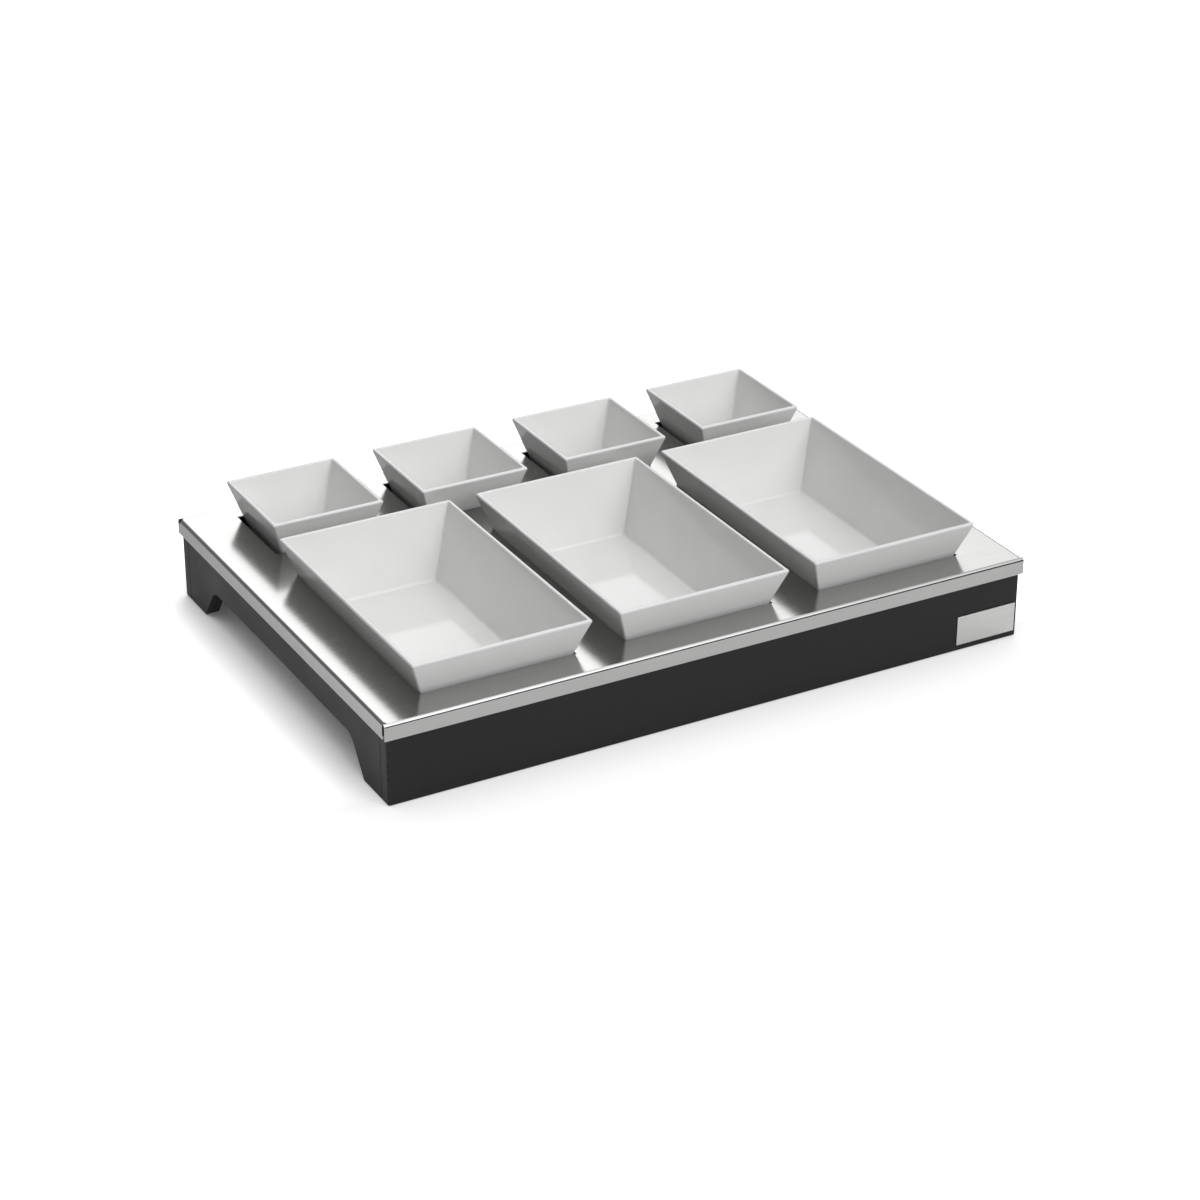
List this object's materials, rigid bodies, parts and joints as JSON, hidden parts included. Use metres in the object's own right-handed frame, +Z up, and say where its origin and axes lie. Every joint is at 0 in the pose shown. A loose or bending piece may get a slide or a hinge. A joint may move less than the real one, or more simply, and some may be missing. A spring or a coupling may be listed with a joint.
{
  "type": "buffet bowl stand",
  "caption": "Low black board stand with arched ends and a folded steel cover, whose cut-outs hold lift-out rectangular and square porcelain bowls.",
  "frame": {"origin": "on the table, under the middle of the stand", "axes": "+X along the stand towards its right end, -Y towards the front with the large bowls, +Z up"},
  "size_m": [0.58, 0.406, 0.103],
  "materials": {
    "black_board": "satin black lacquer",
    "cover_steel": "fine satin, nearly mirror at a low angle",
    "white_porcelain": "glossy white glaze",
    "pad_rubber": "matt",
    "screw_steel": "zinc plated",
    "plate_metal": "satin"
  },
  "bodies": {
    "base": {"front_panel": "black_board", "rear_panel": "black_board", "left_end_panel": "black_board", "right_end_panel": "black_board", "cover_rail": "black_board", "name_plate": "plate_metal", "corner_block_front_left": "black_board", "corner_block_front_right": "black_board", "corner_block_rear_left": "black_board", "corner_block_rear_right": "black_board", "corner_screw_front_left_end": "screw_steel", "corner_screw_front_left_long": "screw_steel", "corner_screw_front_right_end": "screw_steel", "corner_screw_front_right_long": "screw_steel", "corner_screw_rear_left_end": "screw_steel", "corner_screw_rear_left_long": "screw_steel", "corner_screw_rear_right_end": "screw_steel", "corner_screw_rear_right_long": "screw_steel", "foot_pad_front_left": "pad_rubber", "foot_pad_front_right": "pad_rubber", "foot_pad_rear_left": "pad_rubber", "foot_pad_rear_right": "pad_rubber"},
    "cover": {"steel_cover": "cover_steel"},
    "large_bowl_1": {"large_bowl_1": "white_porcelain"},
    "large_bowl_2": {"large_bowl_2": "white_porcelain"},
    "large_bowl_3": {"large_bowl_3": "white_porcelain"},
    "small_bowl_1": {"small_bowl_1": "white_porcelain"},
    "small_bowl_2": {"small_bowl_2": "white_porcelain"},
    "small_bowl_3": {"small_bowl_3": "white_porcelain"},
    "small_bowl_4": {"small_bowl_4": "white_porcelain"}
  },
  "joints": [
    {"name": "cover_lift", "type": "slide", "parent": "base", "child": "cover", "axis": [0, 0, 1], "range_m": [0, 0.08]},
    {"name": "large_bowl_1_lift", "type": "slide", "parent": "cover", "child": "large_bowl_1", "axis": [0, 0, 1], "range_m": [0, 0.08]},
    {"name": "large_bowl_2_lift", "type": "slide", "parent": "cover", "child": "large_bowl_2", "axis": [0, 0, 1], "range_m": [0, 0.08]},
    {"name": "large_bowl_3_lift", "type": "slide", "parent": "cover", "child": "large_bowl_3", "axis": [0, 0, 1], "range_m": [0, 0.08]},
    {"name": "small_bowl_1_lift", "type": "slide", "parent": "cover", "child": "small_bowl_1", "axis": [0, 0, 1], "range_m": [0, 0.08]},
    {"name": "small_bowl_2_lift", "type": "slide", "parent": "cover", "child": "small_bowl_2", "axis": [0, 0, 1], "range_m": [0, 0.08]},
    {"name": "small_bowl_3_lift", "type": "slide", "parent": "cover", "child": "small_bowl_3", "axis": [0, 0, 1], "range_m": [0, 0.08]},
    {"name": "small_bowl_4_lift", "type": "slide", "parent": "cover", "child": "small_bowl_4", "axis": [0, 0, 1], "range_m": [0, 0.08]}
  ]
}
